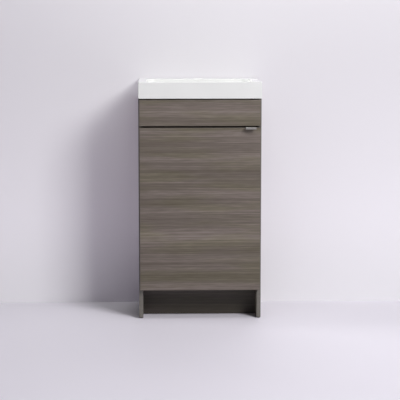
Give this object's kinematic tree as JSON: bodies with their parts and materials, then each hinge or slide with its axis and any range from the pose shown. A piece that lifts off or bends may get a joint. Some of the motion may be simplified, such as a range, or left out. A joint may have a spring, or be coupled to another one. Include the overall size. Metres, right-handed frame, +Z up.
{
  "type": "vanity unit",
  "caption": "Freestanding one-door bathroom cabinet with side panels down to the floor, a recessed plinth, a false drawer front and a slab wash basin on top.",
  "frame": {"origin": "centre of the unit's footprint, handle included, on the floor", "axes": "+Z up, +Y towards the wall behind, +X to the right as seen from the front"},
  "size_m": [0.45, 0.348, 0.875],
  "materials": {
    "wood_board": "brown-grey wood-effect melamine with fine level grain, matt",
    "lipping": "plain grey edging, satin",
    "timber": "plain beech",
    "hardboard": "pale faced fibreboard",
    "zinc_steel": "zinc plated",
    "nickel_steel": "nickel plated",
    "satin_metal": "satin anodised",
    "chrome": "polished chrome",
    "black_plastic": "moulded black plastic",
    "clear_plastic": "soft milky plastic",
    "black_rubber": "matt black rubber",
    "white_glaze": "gloss white glaze"
  },
  "bodies": {
    "root": {"side_panel_left": "wood_board", "side_panel_right": "wood_board", "side_edging": "lipping", "base_panel": "wood_board", "base_edging": "lipping", "plinth": "wood_board", "plinth_blocks": "timber", "plinth_screws": "zinc_steel", "floor_glides": "black_plastic", "front_rail": "wood_board", "back_rail": "wood_board", "back_panel": "hardboard", "cam_locks": "zinc_steel", "cam_bolts": "zinc_steel", "dowels": "timber", "shelf": "wood_board", "shelf_edging": "lipping", "shelf_pins": "zinc_steel", "fascia": "wood_board", "fascia_edging": "lipping", "fascia_spacers": "clear_plastic", "fascia_screws": "zinc_steel", "fascia_brackets": "zinc_steel", "bracket_screws": "zinc_steel", "hinge_plates": "nickel_steel", "hinge_plate_screws": "zinc_steel", "hinge_arms": "nickel_steel", "hinge_arm_screws": "zinc_steel", "hinge_pins": "nickel_steel", "basin": "white_glaze", "basin_bowl": "white_glaze", "overflow_ring": "chrome", "waste_body": "chrome", "waste_seals": "black_rubber", "waste_backnut": "chrome"},
    "door": {"door": "wood_board", "door_edging": "lipping", "door_bumpers": "clear_plastic", "door_handle": "satin_metal", "handle_screws": "zinc_steel", "hinge_cups": "nickel_steel", "hinge_cup_screws": "zinc_steel"},
    "outer_links": {"hinge_outer_links": "nickel_steel"},
    "inner_links": {"hinge_inner_links": "nickel_steel"},
    "plug": {"waste_plug": "chrome"}
  },
  "joints": [
    {"name": "door_hinge", "type": "hinge", "parent": "root", "child": "door", "pos_m": [-0.2137, -0.1474, 0.409], "axis": [0, 0, -1], "range_deg": [0, 100]},
    {"name": "outer_link_swing", "type": "hinge", "parent": "root", "child": "outer_links", "pos_m": [-0.19029, -0.13045, 0.409], "axis": [0, 0, -1], "range_deg": [-4.5, 0]},
    {"name": "inner_link_swing", "type": "hinge", "parent": "root", "child": "inner_links", "pos_m": [-0.18993, -0.14172, 0.409], "axis": [0, 0, -1], "range_deg": [-15.2, 0]},
    {"name": "plug_lift", "type": "slide", "parent": "root", "child": "plug", "axis": [0, 0, 1], "range_m": [0, 0.009]}
  ],
  "couplings": [
    {"joint": "outer_link_swing", "follows": "door_hinge", "ratio": -0.044},
    {"joint": "inner_link_swing", "follows": "door_hinge", "ratio": -0.1508}
  ]
}
